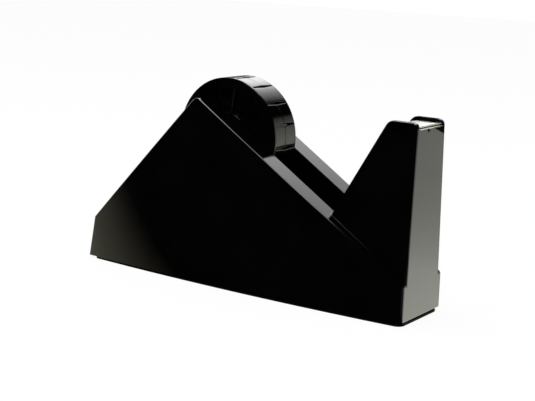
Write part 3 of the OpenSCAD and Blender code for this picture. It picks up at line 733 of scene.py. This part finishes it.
def wheel_half(name, w, side):
    """One half of the wheel as a closed surface of two parameters: u goes round the axle and v round the
    section. A point is the axle's middle plus r (sin a, 0, cos a) plus side * depth along Y. Near each slot
    the columns gather at its walls, where the rim's r drops by slot_deep, and on the web they gather at a
    rib's walls, where the depth rises by rib_h."""
    r, d, slot_share, rib_share = wheel_section(w).T[:, :, None]
    # Columns from a slot's middle outwards: half widths out, how much more, and the share of its depth
    e = w.slot_edge_r
    bend = np.linspace(0, math.pi / 2, 4)
    halves = np.array([0.0, 1, 1, 1, 1, 1])
    slot_more = np.array([0, -0.12 * MM, *(e * (1 - np.cos(bend)))])
    slot_drop = [1, 1, *(e / w.slot_deep * (1 - np.sin(bend)))]
    # The same for a rib
    rib_more = e * np.array([0, -1, -0.65, -0.3, 0, 0])
    rib_rise = [1, 1, 0.93, 0.7, 0.35, 0]
    land = np.linspace(0, 1, 10)[1:]

    # Arc lengths about the slot's middle go over to those about the rib's, then become angles
    pitch = 2 * math.pi / w.slots
    to_end = np.clip(d / (w.half_w - w.rim_border), 0, 1)
    half_slot = (w.slot_mid_w + (w.slot_end_w - w.slot_mid_w) * to_end) / 2
    on_web = np.clip((w.face_r + 0.5 * MM - r) / MM, 0, 1)
    arcs = (half_slot * halves + slot_more) * (1 - on_web) + (w.rib_t / 2 * halves + rib_more) * on_web
    near = arcs / np.maximum(r, w.tube_r)
    half_pitch = np.concatenate([near, near[:, -1:] + (pitch / 2 - near[:, -1:]) * land], 1)
    angle = np.concatenate([-half_pitch[:, :0:-1], half_pitch[:, :-1]], 1)

    def all_round(shares):
        half = np.append(shares, np.zeros(len(land)))
        return np.tile(np.concatenate([half[:0:-1], half[:-1]]), w.slots)

    middles = w.slot_phase + pitch * np.arange(w.slots)
    turn = (middles[None, :, None] + angle[:, None, :]).reshape(len(r), -1)
    radius = r - w.slot_deep * slot_share * all_round(slot_drop)
    depth = d + w.rib_h * rib_share * all_round(rib_rise)
    at = np.stack([hub.x + radius * np.sin(turn), side * depth, hub.z + radius * np.cos(turn)], -1)
    return outward(new_piece(name, at.reshape(-1, 3), ring_faces(*turn.shape, True, True)))


def joining_post(w, x, z, side, steps=32):
    """A post on the web at x and z with a peg on the far half, or with the peg's hole on the near one: a
    closed section of radius and depth turned about an axis along Y."""
    # The section keeps a hair off its axis, so that no two of its points fall together there
    axis_r, post_r, post_h = 1e-6, 2 * w.peg_r, w.half_w - w.web_depth - w.web_t / 2
    head = [(post_r, 0), (post_r, post_h), (axis_r, post_h)]
    if side > 0:
        section = [(axis_r, -w.peg_l), (w.peg_r - w.peg_lead, -w.peg_l), (w.peg_r, w.peg_lead - w.peg_l),
                   (w.peg_r, 0), *head]
    else:
        floor, hole_r = w.peg_l + w.peg_lead, w.peg_r + w.peg_gap
        section = [(hole_r, 0), *head, (axis_r, floor), (hole_r, floor)]
    r, d = np.array(section).T[:, :, None]
    angle = np.arange(steps) * 2 * math.pi / steps
    at = np.stack(np.broadcast_arrays(x + r * np.cos(angle), side * d, z + r * np.sin(angle)), -1)
    return outward(new_piece("post", at.reshape(-1, 3), ring_faces(len(r), steps, True, True)))


def peg_places(w):
    """Places of the joining pegs in X and Z, evenly round the axle."""
    angle = (np.arange(w.pegs) + 0.5) * 2 * math.pi / w.pegs
    return np.stack([hub.x + w.peg_ring_r * np.cos(angle), hub.z + w.peg_ring_r * np.sin(angle)], 1)


# Forms of the cutter


def plate_outline(s, c):
    """The plate seen from the side: up the rear slope, round the seat's edge, forward and down at the fold,
    and back along its underside."""
    slope, out, start = rear_slope(s)

    def path(lift):
        level = seat_z(s) + lift
        corner = meeting(start + out * lift, slope, np.array([0, level]), np.array([1.0, 0.0]))
        foot = start + out * lift - slope * (c.flange_l + s.seat_r / 2)
        fold_x = front_x(s, seat_z(s)) - c.plate_setback - c.plate_t + lift
        fold = np.array([fold_x, level])
        lip = np.array([fold_x, pocket_z(s) + c.blade_t + c.lip_gap])
        turn = corner_arc(foot, corner, fold, s.seat_r + lift, 16)
        bend = corner_arc(corner, fold, lip, c.fold_r, 8) if lift else fold[None]
        return np.concatenate([foot[None], turn, bend, lip[None]])

    return np.concatenate([path(c.plate_t), path(0)[::-1]])


def blade_piece(s, c):
    """The blade: a strip in the pocket whose front is a row of teeth, ground down on top from the grind line
    to the tips. Behind its front it narrows with the cheeks' opening."""
    # A hair over the pocket's floor, so that the two don't share a plane
    low = pocket_z(s) + 0.02 * MM
    high = low + c.blade_t
    tip_x, rear_x, y = blade_high.x, blade_low.x, c.half_w + s.flare_w
    root_x = tip_x - c.tooth_deep
    grind_x = root_x - c.grind_l
    teeth = int(2 * y / c.tooth_pitch)
    k = np.arange(2 * teeth + 1)
    across = np.concatenate([[-y], (k - teeth) * c.tooth_pitch / 2, [y]])
    edge_x = np.concatenate([[root_x], np.where(k % 2, tip_x, root_x), [root_x]])
    drop = (c.blade_t - c.tip_t) * (edge_x - grind_x) / (tip_x - grind_x)
    rows = []
    for x, z in ((rear_x, low), (edge_x, low), (edge_x, high - drop), (grind_x, high), (rear_x, high)):
        limit = c.half_w + opening(s, x)
        rows.append(np.column_stack(np.broadcast_arrays(x, np.clip(across, -limit, limit), z)))
    grid = np.arange(len(rows) * len(across)).reshape(len(rows), -1)
    faces = ring_faces(*grid.shape, True, False).tolist() + [grid[:, 0], grid[::-1, -1]]
    return outward(merge_flats(new_piece("blade", np.concatenate(rows), faces)))


# Finishes


FINISHES = {}

# The useful range of a noise factor, which a Map Range node spreads to the range wanted
NOISE = {"in_From_Min": 0.3, "in_From_Max": 0.7}


def linear(hex_colour):
    """An sRGB hex colour as linear RGBA."""
    parts = [int(hex_colour[i : i + 2], 16) / 255 for i in (1, 3, 5)]
    return [p / 12.92 if p <= 0.04045 else ((p + 0.055) / 1.055) ** 2.4 for p in parts] + [1.0]


def add(tree, kind, out=0, **settings):
    """Adds a node and gives its output out. A setting named in_X goes to input X, by name or number: a socket
    is linked to it, and a plain value is set on it. The other settings are the node's own."""
    node = tree.nodes.new("ShaderNode" + kind)
    for key, value in settings.items():
        if not key.startswith("in_"):
            setattr(node, key, value)
            continue
        name = key[3:].replace("_", " ")
        socket = node.inputs[int(name) if name.isdigit() else name]
        if isinstance(value, bpy.types.NodeSocket):
            tree.links.new(value, socket)
        else:
            socket.default_value = value
    return node.outputs[out] if node.outputs else None


def new_material(name):
    """An empty node material, and Object coordinates in millimetres."""
    material = bpy.data.materials.new(name)
    material.use_nodes = True
    tree = material.node_tree
    tree.nodes.clear()
    metres = add(tree, "TexCoord", "Object")
    return material, tree, add(tree, "Mapping", in_Vector=metres, in_Scale=(1000, 1000, 1000))


def finish(name, coat, *choices):
    """A material whose coat, one of the functions below, works out the shader's settings."""
    material, tree, at = new_material(name)
    add(tree, "OutputMaterial", in_Surface=add(tree, "BsdfPrincipled", **coat(tree, at, *choices)))
    return material


def clouded(tree, share, first, second):
    """A tint that drifts from one hex colour to another with a noise factor."""
    share = add(tree, "MapRange", in_Value=share, **NOISE)
    return add(tree, "Mix", 2, data_type="RGBA", in_0=share, in_6=linear(first), in_7=linear(second))


def gloss_polystyrene(tree, at, hex_colour, roughness, streak):
    """High-gloss black polystyrene from a polished mould: a mirror-like skin over a deep black, with a faint
    moulding ripple 9 mm wide and handling haze. Streak adds the fine turned lines of a wheel's mould, 0.9 mm
    apart, along its rim; real ones are finer and are drawn as coarse as they show."""
    ripple = add(tree, "TexNoise", in_Vector=at, in_Scale=1 / 9, in_Detail=1.0)
    haze = add(tree, "TexNoise", in_Vector=at, in_Scale=1 / 26, in_Detail=3.0)
    dust = add(tree, "TexNoise", in_Vector=at, in_Scale=1 / 0.7)
    veil = add(tree, "MapRange", in_Value=haze, **NOISE, in_To_Max=roughness * 0.5)
    limits = {"in_To_Min": roughness * 0.8, "in_To_Max": roughness * 1.1}
    specks = add(tree, "MapRange", in_Value=dust, **NOISE, **limits)
    normal = add(tree, "Bump", in_Height=ripple, in_Distance=0.012 * MM)
    if streak:
        along_rim = add(tree, "Mapping", in_Vector=at, in_Scale=(1 / 14, 1 / 0.9, 1 / 14))
        lines = add(tree, "TexNoise", in_Vector=along_rim, in_Scale=1.0, in_Detail=3.0)
        normal = add(tree, "Bump", in_Height=lines, in_Distance=0.016 * MM, in_Normal=normal)
    return {
        "in_Base_Color": clouded(tree, haze, hex_colour, "#040404"),
        "in_Roughness": add(tree, "Math", operation="ADD", in_0=veil, in_1=specks),
        "in_IOR": 1.58,
        "in_Normal": normal,
    }


def matt_polystyrene(tree, at, hex_colour):
    """Matt moulded polystyrene from a spark-eroded mould: a fine even grain of 0.4 mm scatters the light."""
    cloud = add(tree, "TexNoise", in_Vector=at, in_Scale=1 / 18)
    grain = add(tree, "TexNoise", in_Vector=at, in_Scale=1 / 0.4)
    return {
        "in_Base_Color": clouded(tree, cloud, hex_colour, "#242425"),
        "in_Roughness": add(tree, "MapRange", in_Value=grain, **NOISE, in_To_Min=0.5, in_To_Max=0.65),
        "in_IOR": 1.58,
        "in_Normal": add(tree, "Bump", in_Height=grain, in_Distance=0.03 * MM),
    }


def foam_rubber(tree, at, hex_colour):
    """Foam rubber sheet, cut from a roll: matt black with open pores about 0.6 mm across, which swallow
    nearly all of its gloss. The pores' colour is darkened as painted shade inside them."""
    pores = add(tree, "TexVoronoi", in_Vector=at, in_Scale=1 / 0.6)
    wear = add(tree, "TexNoise", in_Vector=at, in_Scale=1 / 3)
    dents_and_pore_shade = add(tree, "MapRange", in_Value=pores, in_From_Max=0.45)
    # The pores get a darker colour, which is painted shade in the hollows; the same mask also drives the real
    # dents of the bump
    painted_pore_shade, skin = linear("#020202"), linear(hex_colour)
    return {
        "in_Base_Color": add(tree, "Mix", 2, data_type="RGBA", in_0=dents_and_pore_shade, in_6=painted_pore_shade, in_7=skin),
        "in_Roughness": add(tree, "MapRange", in_Value=wear, **NOISE, in_To_Min=0.82, in_To_Max=0.95),
        "in_IOR": 1.52,
        "in_Specular_IOR_Level": 0.12,
        "in_Normal": add(tree, "Bump", in_Height=dents_and_pore_shade, in_Distance=0.12 * MM),
    }


def worked_metal(tree, at, hex_colour, dark_colour, roughness, stretch, line_mm, depth_mm):
    """Metal whose grain lines, line_mm apart, are stretched along the way it was worked: drawn along an axle,
    or rolled along a sheet. They break the reflection into fine streaks."""
    along = add(tree, "Mapping", in_Vector=at, in_Scale=tuple(1 / (line_mm * k) for k in stretch))
    lines = add(tree, "TexNoise", in_Vector=along, in_Scale=1.0, in_Detail=3.0)
    cloud = add(tree, "TexNoise", in_Vector=at, in_Scale=1 / 6)
    limits = {"in_To_Min": roughness * 0.75, "in_To_Max": roughness * 1.3}
    return {
        "in_Base_Color": clouded(tree, cloud, hex_colour, dark_colour),
        "in_Roughness": add(tree, "MapRange", in_Value=lines, **NOISE, **limits),
        "in_Metallic": 1.0,
        "in_Normal": add(tree, "Bump", in_Height=lines, in_Distance=depth_mm * MM),
    }


def cast_iron(tree, at, hex_colour):
    """Raw sand-cast iron: a dull grey skin with the print of the sand, about 0.6 mm coarse."""
    cloud = add(tree, "TexNoise", in_Vector=at, in_Scale=1 / 9)
    sand = add(tree, "TexNoise", in_Vector=at, in_Scale=1 / 0.6, in_Detail=4.0)
    return {
        "in_Base_Color": clouded(tree, cloud, hex_colour, "#33302d"),
        "in_Roughness": add(tree, "MapRange", in_Value=sand, **NOISE, in_To_Min=0.55, in_To_Max=0.8),
        "in_Metallic": 1.0,
        "in_Normal": add(tree, "Bump", in_Height=sand, in_Distance=0.15 * MM),
    }


# Stage


def white_world(context):
    """A plain pale world that is plain white where it is seen or mirrored."""
    world = bpy.data.worlds.new("studio")
    context.scene.world = world
    world.use_nodes = True
    tree = world.node_tree
    tree.nodes.clear()
    light = add(tree, "Background", in_Color=(0.9, 0.92, 0.95, 1), in_Strength=0.7)
    white = add(tree, "Background", in_Color=(1, 1, 1, 1), in_Strength=1.0)
    mixed = add(tree, "MixShader", in_0=seen_or_mirrored(tree), in_1=light, in_2=white)
    add(tree, "OutputWorld", in_Surface=mixed)


def seen_or_mirrored(tree):
    """One for a ray from the camera, from a mirror or through a clear body, and nothing for light itself."""
    rays = add(tree, "LightPath").node.outputs
    seen = add(tree, "Math", operation="MAXIMUM", in_0=rays["Is Camera Ray"], in_1=rays["Is Glossy Ray"])
    return add(tree, "Math", operation="MAXIMUM", in_0=seen, in_1=rays["Is Transmission Ray"])


def level_quad(plan, z):
    """Plan points at one height."""
    return [[x, y, z] for x, y in plan]


def level_box(x0, x1, y0, y1, z):
    """Corners of a level rectangle."""
    return level_quad([(x0, y0), (x1, y0), (x1, y1), (x0, y1)], z)


def upright(start, end, low, high):
    """Corners of an upright rectangle over the plan line from start to end."""
    return level_quad([start, end], low) + level_quad([end, start], high)


def pale_floor():
    """A wide pale floor, white where it is seen or mirrored but for a faint contact shadow."""
    half = 4.0
    floor = new_piece("floor", level_box(-half, half, -half, half, 0), [[0, 1, 2, 3]])
    material, tree, _ = new_material("Pale floor")
    share = add(tree, "Math", operation="MULTIPLY", in_0=seen_or_mirrored(tree), in_1=0.94)
    paper = add(tree, "BsdfDiffuse", in_Color=linear("#f4f4f4"))
    white = add(tree, "Emission", in_Color=(1, 1, 1, 1), in_Strength=1.0)
    add(tree, "OutputMaterial", in_Surface=add(tree, "MixShader", in_0=share, in_1=paper, in_2=white))
    floor.data.materials.append(material)


def level_along(tree, socket, stops):
    """A level that runs straight from stop to stop; stops are (place in metres, level) pairs in order."""
    first, last = stops[0][0], stops[-1][0]
    peak = max(level for _, level in stops)
    share = add(tree, "MapRange", in_Value=socket, in_From_Min=first, in_From_Max=last)
    ramp = add(tree, "ValToRGB", in_0=share)
    marks = ramp.node.color_ramp.elements
    for stop, _ in stops[1:-1]:
        marks.new((stop - first) / (last - first))
    for mark, (_, level) in zip(marks, stops):
        mark.color = (level / peak, level / peak, level / peak, 1)
    return add(tree, "Math", operation="MULTIPLY", in_0=ramp, in_1=peak)


def card(name, corners, hex_colour, *levels):
    """A studio card that only mirrors see: four corners in metres and a colour. Its level is the product of
    the levels, each a direction and the stops measured along it; it is black with none."""
    piece = new_piece(name, corners, [[0, 1, 2, 3]])
    material, tree, at = new_material(name)
    level = 1.0 if levels else 0.0
    for direction, stops in levels:
        metres = [MM * part for part in direction]
        measured = add(tree, "VectorMath", "Value", operation="DOT_PRODUCT", in_0=at, in_1=metres)
        level = add(tree, "Math", operation="MULTIPLY", in_0=level, in_1=level_along(tree, measured, stops))
    glow = add(tree, "Emission", in_Color=linear(hex_colour), in_Strength=level)
    add(tree, "OutputMaterial", in_Surface=glow)
    piece.data.materials.append(material)
    piece.visible_camera = piece.visible_diffuse = piece.visible_shadow = piece.visible_transmission = False


def bounce_cards():
    """Black flags all round and pale cards where the gloss needs them, as for any gloss black product."""
    black, white, warm, cool, olive = "#000000", "#ffffff", "#fcfff2", "#dfe0ff", "#fff9dd"
    along_x, along_y, up = (1, 0, 0), (0, 1, 0), (0, 0, 1)
    far, top, lying, flag_y = 2.4, 3.2, 0.0006, 0.06
    card("flag_floor", level_box(-far, far, -far, far, lying / 2), black)
    card("flag_sky", level_box(-far, far, -far, far, top), black)
    for side in (-1, 1):
        card(f"flag_side_{side}", upright((side * far, -far), (side * far, far), 0, top), black)
        card(f"flag_end_{side}", upright((-far, side * far), (far, side * far), 0, top), black)
    # The back card lights the ledges and the top of the wheel's rim, and falls off to the right
    card("card_back", upright((-far, 1.6), (0.5, 1.6), 0.45, 3.0), white,
         (along_x, [(-1.6, 2.0), (-0.95, 2.7), (-0.78, 3.2), (-0.55, 3.1), (-0.25, 2.35), (-0.13, 1.85),
                    (-0.05, 1.45), (0.03, 1.35), (0.19, 0.85), (0.3, 0.45), (0.42, 0.08), (0.5, 0.0)]),
         (up, [(0.45, 0.0), (0.62, 1.0)]))
    # The low card stands at the right behind, and a card lies between it and the front face
    card("card_low", upright((0.30, 0.66), (1.3, 0.35), 0.0, 0.4), warm,
         (up, [(0.0, 1.0), (0.13, 0.8), (0.2, 0.65), (0.29, 0.42), (0.33, 0.3), (0.37, 0.0)]))
    card("card_floor", level_quad([(0.105, -0.02), (1.6, -0.02), (1.6, 1.0), (0.455, 1.0)], lying), warm,
         (along_y, [(0.0, 2.05), (0.05, 1.95), (0.11, 1.8), (0.156, 1.53), (0.237, 1.3), (0.335, 1.13),
                    (0.5, 1.0)]))
    # The overhead card draws the thin line along the near edge
    card("card_top", level_box(-0.3, 0.46, -0.42, 0.5, 1.3), white,
         (along_x, [(-0.3, 0.0), (-0.15, 6.0), (0.05, 7.5), (0.1, 5.3), (0.16, 3.0), (0.2, 2.6), (0.25, 4.1),
                    (0.31, 5.2), (0.36, 5.2), (0.44, 0.0)]))
    # A soft card behind gives the far side its gloss where the object is seen from there
    card("card_behind", level_box(-0.5, 0.09, 0.06, 0.9, lying), cool,
         (along_y, [(0.06, 0.0), (0.2, 0.12), (0.9, 0.5)]))
    # The left card draws the rear slope's near edge beside the wheel
    card("card_left", upright((-2.3, -0.3), (-2.3, 1.3), 0.3, 1.0), white,
         (along_y, [(-0.3, 1.6), (1.3, 1.6)]))
    # A near card lets the tower's round front edge fade into the dark side, and two flags darken the blade's
    # and the far cheek's ends
    card("card_edge", level_quad([(0.34, -0.2), (0.9, -0.6), (1.2, -0.02), (0.34, -0.02)], lying), warm,
         (along_y, [(-0.6, 0.08), (-0.3, 0.2), (-0.15, 0.4), (-0.02, 0.9)]))
    blade_flag = ((0.13, 0.0999), (0.1505, 0.1084), (0.1505, 0.109), (0.13, 0.1136))
    card("flag_blade", [[x, flag_y, z] for x, z in blade_flag], black)
    card("flag_cheek", upright((0.13, flag_y), (0.1434, flag_y), 0.108, 0.13), black)
    # Faint glows on the floor at both ends of the near side, and a faint card at the right
    card("card_rear", level_box(-0.6, -0.02, -0.4, -0.02, lying), olive,
         ((-1, 1.3, 0), [(0.0, 0.0), (0.02, 0.08), (0.04, 0.23), (0.06, 0.42), (0.07, 0.5), (0.08, 0.68),
                         (0.1, 0.95)]))
    card("card_front", level_box(0.135, 0.33, -0.2, -0.03, lying), cool,
         (along_x, [(0.135, 0.16), (0.33, 0.1)]))
    card("card_right", upright((0.8, -0.6), (0.8, -0.1), 0.0, 0.4), cool, (up, [(0.0, 0.3), (0.4, 0.1)]))


def lamps():
    """Two wide soft lamps at a plain level."""
    for name, spot, size, watts in (
        ("overhead", (-0.3, -0.2, 1.6), 1.2, 14.0),
        ("fill", (1.0, -1.4, 1.2), 1.0, 8.0),
    ):
        data = bpy.data.lights.new(name, "AREA")
        data.size = size
        data.energy = watts
        lamp = bpy.data.objects.new(name, data)
        lamp.location = spot
        lamp.rotation_euler = (-Vector(spot)).to_track_quat("-Z", "Y").to_euler()
        lamp.visible_camera = lamp.visible_glossy = False
        bpy.context.scene.collection.objects.link(lamp)


def camera():
    """The camera at the photograph's angle, with its azimuth, elevation, roll and place as measured."""
    azimuth, elevation, roll = (math.radians(d) for d in (33.795, 11.408, 2.505))
    focal_px, width_px, sensor_mm = 1209.77, 535, 36.0
    at = Vector((432.9, -634.9, 210.0)) * MM
    level = math.cos(elevation)
    back = Vector((math.sin(azimuth) * level, -math.cos(azimuth) * level, math.sin(elevation)))
    right = Vector((math.cos(azimuth), math.sin(azimuth), 0))
    up = back.cross(right)
    rolled_right = right * math.cos(roll) + up * math.sin(roll)
    rolled_up = up * math.cos(roll) - right * math.sin(roll)
    data = bpy.data.cameras.new("view")
    data.sensor_width = sensor_mm
    data.lens = focal_px * sensor_mm / width_px
    view = bpy.data.objects.new("view", data)
    turn = Matrix((rolled_right, rolled_up, back)).transposed().to_4x4()
    view.matrix_world = Matrix.Translation(at) @ turn
    bpy.context.scene.collection.objects.link(view)
    bpy.context.scene.camera = view


# Operators


class DISPENSER_OT_finishes(bpy.types.Operator):
    """Make the finishes and give them to the frame nodes that stay as they are"""

    bl_idname = "dispenser.finishes"
    bl_label = "Finishes"

    def execute(self, context):
        c = context.scene.dispenser_colours
        metals = (
            ("zinc", "Zinc plated steel", "#9c9ea3", 0.32, (1, 1, 1), 0.5, 0.004),
            ("axle", "Drawn steel", "#a9aaac", 0.2, (1, 12, 1), 0.12, 0.002),
            ("clip", "Blackened spring steel", "#2b2b2f", 0.38, (1, 1, 1), 0.3, 0.003),
            ("plate", "Nickel plated sheet", "#d8d6d2", 0.24, (1, 14, 1), 0.16, 0.0012),
            ("blade", "Stainless strip", "#c9c5ba", 0.22, (1, 14, 1), 0.12, 0.002),
        )
        FINISHES.update(
            body=finish("Gloss polystyrene, body", gloss_polystyrene, c.body, 0.06, False),
            wheel=finish("Gloss polystyrene, wheel", gloss_polystyrene, c.wheel, 0.09, True),
            base=finish("Matt polystyrene", matt_polystyrene, c.base),
            mat=finish("Foam rubber", foam_rubber, c.mat),
            iron=finish("Cast iron", cast_iron, c.iron),
        )
        for key, name, *choices in metals:
            FINISHES[key] = finish(name, worked_metal, getattr(c, key), *choices)
        kept = {
            "base_plate": "base", "rear_weight": "iron", "front_weight": "iron", "weight_screws": "zinc",
            "base_screws": "zinc",
        }
        for node, key in kept.items():
            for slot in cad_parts[node].material_slots:
                slot.material = FINISHES[key]
        return {"FINISHED"}


class DISPENSER_OT_shell(bpy.types.Operator):
    """Build the body shell: the wedge and the tower, hollowed, with the channel, the slots and the seat"""

    bl_idname = "dispenser.shell"
    bl_label = "Body shell"

    def execute(self, context):
        s = context.scene.dispenser_shell
        past = 8 * MM
        far_front = s.body_l / 2 + 2 * past
        shell = wedge("body", s, 0.0, past)
        combine(shell, channel("channel", s, 0.0, lambda z: far_front), "DIFFERENCE")
        combine(shell, tower("tower", s, 0.0, past, 0.0), "UNION")
        combine(shell, behind_front("front", s, 0.0), "INTERSECT")
        for side in (-1, 1):
            combine(shell, front_corner("front corner", s, side), "DIFFERENCE")
        combine(shell, seat("seat", s), "DIFFERENCE")
        combine(shell, flare("flare", s), "DIFFERENCE")
        combine(shell, axle_slots("axle slots", s, 0.0), "DIFFERENCE")
        combine(shell, front_notch("notch", s), "DIFFERENCE")
        inner = hollow("hollow", s)
        points, polygons = inner.data.vertices, inner.data.polygons
        skin = BVHTree.FromPolygons([v.co for v in points], [f.vertices for f in polygons])
        combine(shell, inner, "DIFFERENCE")
        merge_flats(shell)
        round_edges(shell, shell_radius(s, skin))
        place(shell, "dispenser", "body_plastic", "body", "body_shell")
        return {"FINISHED"}


class DISPENSER_OT_mat(bpy.types.Operator):
    """Build the anti-slip mat under the body"""

    bl_idname = "dispenser.mat"
    bl_label = "Anti-slip mat"

    def execute(self, context):
        s, m = context.scene.dispenser_shell, context.scene.dispenser_mat
        outline = body_plan(s, m.margin, m.rear_margin, m.corner_r)
        mat = soft_edges(raised("mat", outline, mat_low.z, mat_high.z), 0.2 * MM)
        place(mat, "dispenser", "mat_rubber", "mat", "anti_slip_mat")
        return {"FINISHED"}


class DISPENSER_OT_wheel(bpy.types.Operator):
    """Build the two moulded halves of the roll wheel with their pegs"""

    bl_idname = "dispenser.wheel"
    bl_label = "Roll wheel"

    def execute(self, context):
        w = context.scene.dispenser_wheel
        for name, side, node in (("wheel_left", 1, "hub_left"), ("wheel_right", -1, "hub_right")):
            half = wheel_half(name, w, side)
            for x, z in peg_places(w):
                combine(half, joining_post(w, x, z, side), "UNION")
            all_smooth(half)
            half.data.set_sharp_from_angle(angle=math.radians(35))
            place(half, "wheel", "hub_plastic", "wheel", node)
        return {"FINISHED"}


class DISPENSER_OT_axle(bpy.types.Operator):
    """Build the axle and its two retaining rings from the frame, with broken edges"""

    bl_idname = "dispenser.axle"
    bl_label = "Axle and rings"

    def execute(self, context):
        axle = soft_edges(merged_copy("hub_axle", "axle"), 0.2 * MM)
        place(axle, "axle", "axle_steel", "axle", "hub_axle")
        rings = soft_edges(merged_copy("axle_clips", "rings"), 0.12 * MM)
        place(rings, "axle", "clip_steel", "clip", "axle_clips")
        return {"FINISHED"}


class DISPENSER_OT_cutter(bpy.types.Operator):
    """Build the bent tape rest plate and the toothed blade under it"""

    bl_idname = "dispenser.cutter"
    bl_label = "Cutter"

    def execute(self, context):
        s, c = context.scene.dispenser_shell, context.scene.dispenser_cutter
        outline = plate_outline(s, c)
        half = c.half_w + opening(s, outline[:, 0])
        plate = soft_edges(spread("rest_plate", outline, -half, half), 0.14 * MM)
        place(plate, "dispenser", "plate_steel", "plate", "tape_rest_plate")
        place(blade_piece(s, c), "dispenser", "blade_steel", "blade", "cutter_blade")
        return {"FINISHED"}


class DISPENSER_OT_studio(bpy.types.Operator):
    """Set the floor, the cards, the lamps, the world and the camera"""

    bl_idname = "dispenser.studio"
    bl_label = "Studio"

    def execute(self, context):
        white_world(context)
        for make in (pale_floor, bounce_cards, lamps, camera):
            make()
        context.scene.view_settings.view_transform = "Standard"
        return {"FINISHED"}


class DISPENSER_PT_panel(bpy.types.Panel):
    """Lists the pieces of the dispenser"""

    bl_idname = "DISPENSER_PT_panel"
    bl_label = "Tape dispenser"
    bl_space_type = "VIEW_3D"
    bl_region_type = "UI"
    bl_category = "Dispenser"

    def draw(self, context):
        for step in STEPS:
            self.layout.operator(step.bl_idname)


SIZES = {
    "dispenser_shell": ShellSizes,
    "dispenser_wheel": WheelSizes,
    "dispenser_cutter": CutterSizes,
    "dispenser_mat": MatSizes,
    "dispenser_colours": FinishColours,
}
STEPS = (
    DISPENSER_OT_finishes, DISPENSER_OT_shell, DISPENSER_OT_mat, DISPENSER_OT_wheel, DISPENSER_OT_axle,
    DISPENSER_OT_cutter, DISPENSER_OT_studio,
)


def register():
    """Registers the sizes, the operators and the panel."""
    for name, group in SIZES.items():
        bpy.utils.register_class(group)
        setattr(bpy.types.Scene, name, PointerProperty(type=group))
    for step in (*STEPS, DISPENSER_PT_panel):
        bpy.utils.register_class(step)


def unregister():
    """Takes them away again."""
    for step in (DISPENSER_PT_panel, *reversed(STEPS)):
        bpy.utils.unregister_class(step)
    for name, group in SIZES.items():
        delattr(bpy.types.Scene, name)
        bpy.utils.unregister_class(group)


def main():
    """Builds every piece."""
    register()
    for step in STEPS:
        family, name = step.bl_idname.split(".")
        getattr(getattr(bpy.ops, family), name)()


if __name__ == "__main__":
    main()
